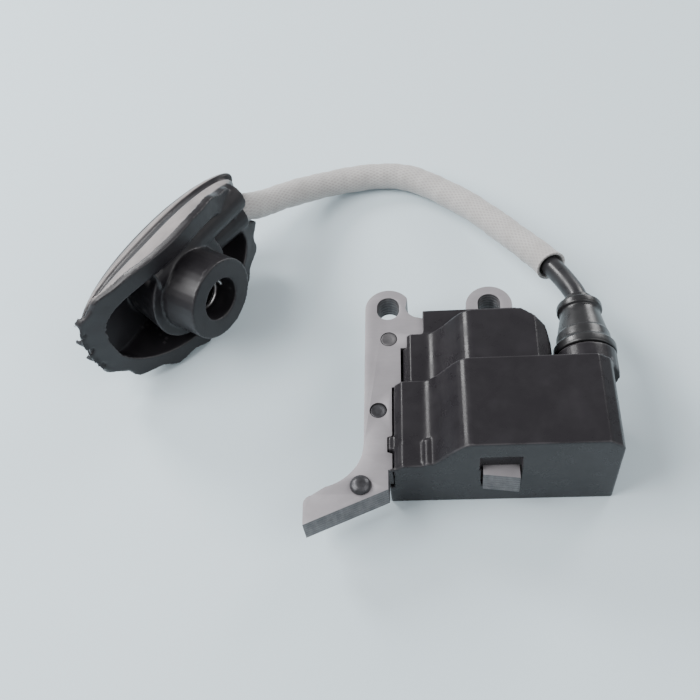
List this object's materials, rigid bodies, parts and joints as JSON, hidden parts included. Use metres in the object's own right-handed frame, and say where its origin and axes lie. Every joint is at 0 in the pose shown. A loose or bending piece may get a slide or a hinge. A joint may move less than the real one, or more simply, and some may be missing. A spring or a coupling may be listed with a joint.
{
  "type": "ignition coil",
  "caption": "Flywheel ignition coil module with a laminated core, potted black housing, sleeved high tension lead and rubber spark plug cap.",
  "frame": {"origin": "centre of the module's plan, on the surface that its potted back lies on", "axes": "+Z out of the housing's front, +Y from the pole faces towards the mounting ears, +X from the left leg towards the lead tower"},
  "size_m": [0.1272, 0.1145, 0.0365],
  "materials": {
    "lamination_steel": "ground flat faces, sheared edges, light oxide",
    "rivet_steel": "dark phosphated steel heads",
    "housing_plastic": "black glass-filled nylon with a soft moulding sheen",
    "potting_resin": "black cast epoxy",
    "bobbin_nylon": "natural moulded nylon",
    "magnet_wire": "enamelled copper wire",
    "board_laminate": "glass-epoxy board",
    "component_epoxy": "moulded component bodies",
    "resistor_body": "lacquered resistor body",
    "capacitor_film": "dipped film capacitor",
    "contact_brass": "bright brass contacts",
    "spring_steel": "drawn spring wire",
    "boot_rubber": "satin black rubber",
    "cap_rubber": "satin black rubber, worn lighter on the ribs",
    "lead_jacket": "smooth black lead jacket",
    "sleeve_braid": "off-white varnished glass-fibre braid"
  },
  "bodies": {
    "root": {"core_lamination_1": "lamination_steel", "core_lamination_2": "lamination_steel", "core_lamination_3": "lamination_steel", "core_lamination_4": "lamination_steel", "core_lamination_5": "lamination_steel", "core_lamination_6": "lamination_steel", "core_lamination_7": "lamination_steel", "core_rivet_domed": "rivet_steel", "core_rivet_upper": "rivet_steel", "core_rivet_lower": "rivet_steel", "coil_housing": "housing_plastic", "epoxy_potting": "potting_resin", "primary_bobbin": "bobbin_nylon", "primary_winding": "magnet_wire", "secondary_bobbin": "bobbin_nylon", "secondary_winding": "magnet_wire", "trigger_board": "board_laminate", "switch_transistor": "component_epoxy", "flyback_diode": "component_epoxy", "bias_resistor": "resistor_body", "charge_capacitor": "capacitor_film", "earth_spring": "contact_brass", "ht_terminal_spike": "contact_brass", "lead_boot": "boot_rubber", "ht_lead_insulation": "lead_jacket", "ht_lead_conductor": "magnet_wire", "lead_sleeve": "sleeve_braid", "plug_cap": "cap_rubber", "cap_terminal_spring": "spring_steel", "cap_contact_pin": "contact_brass"}
  },
  "joints": []
}
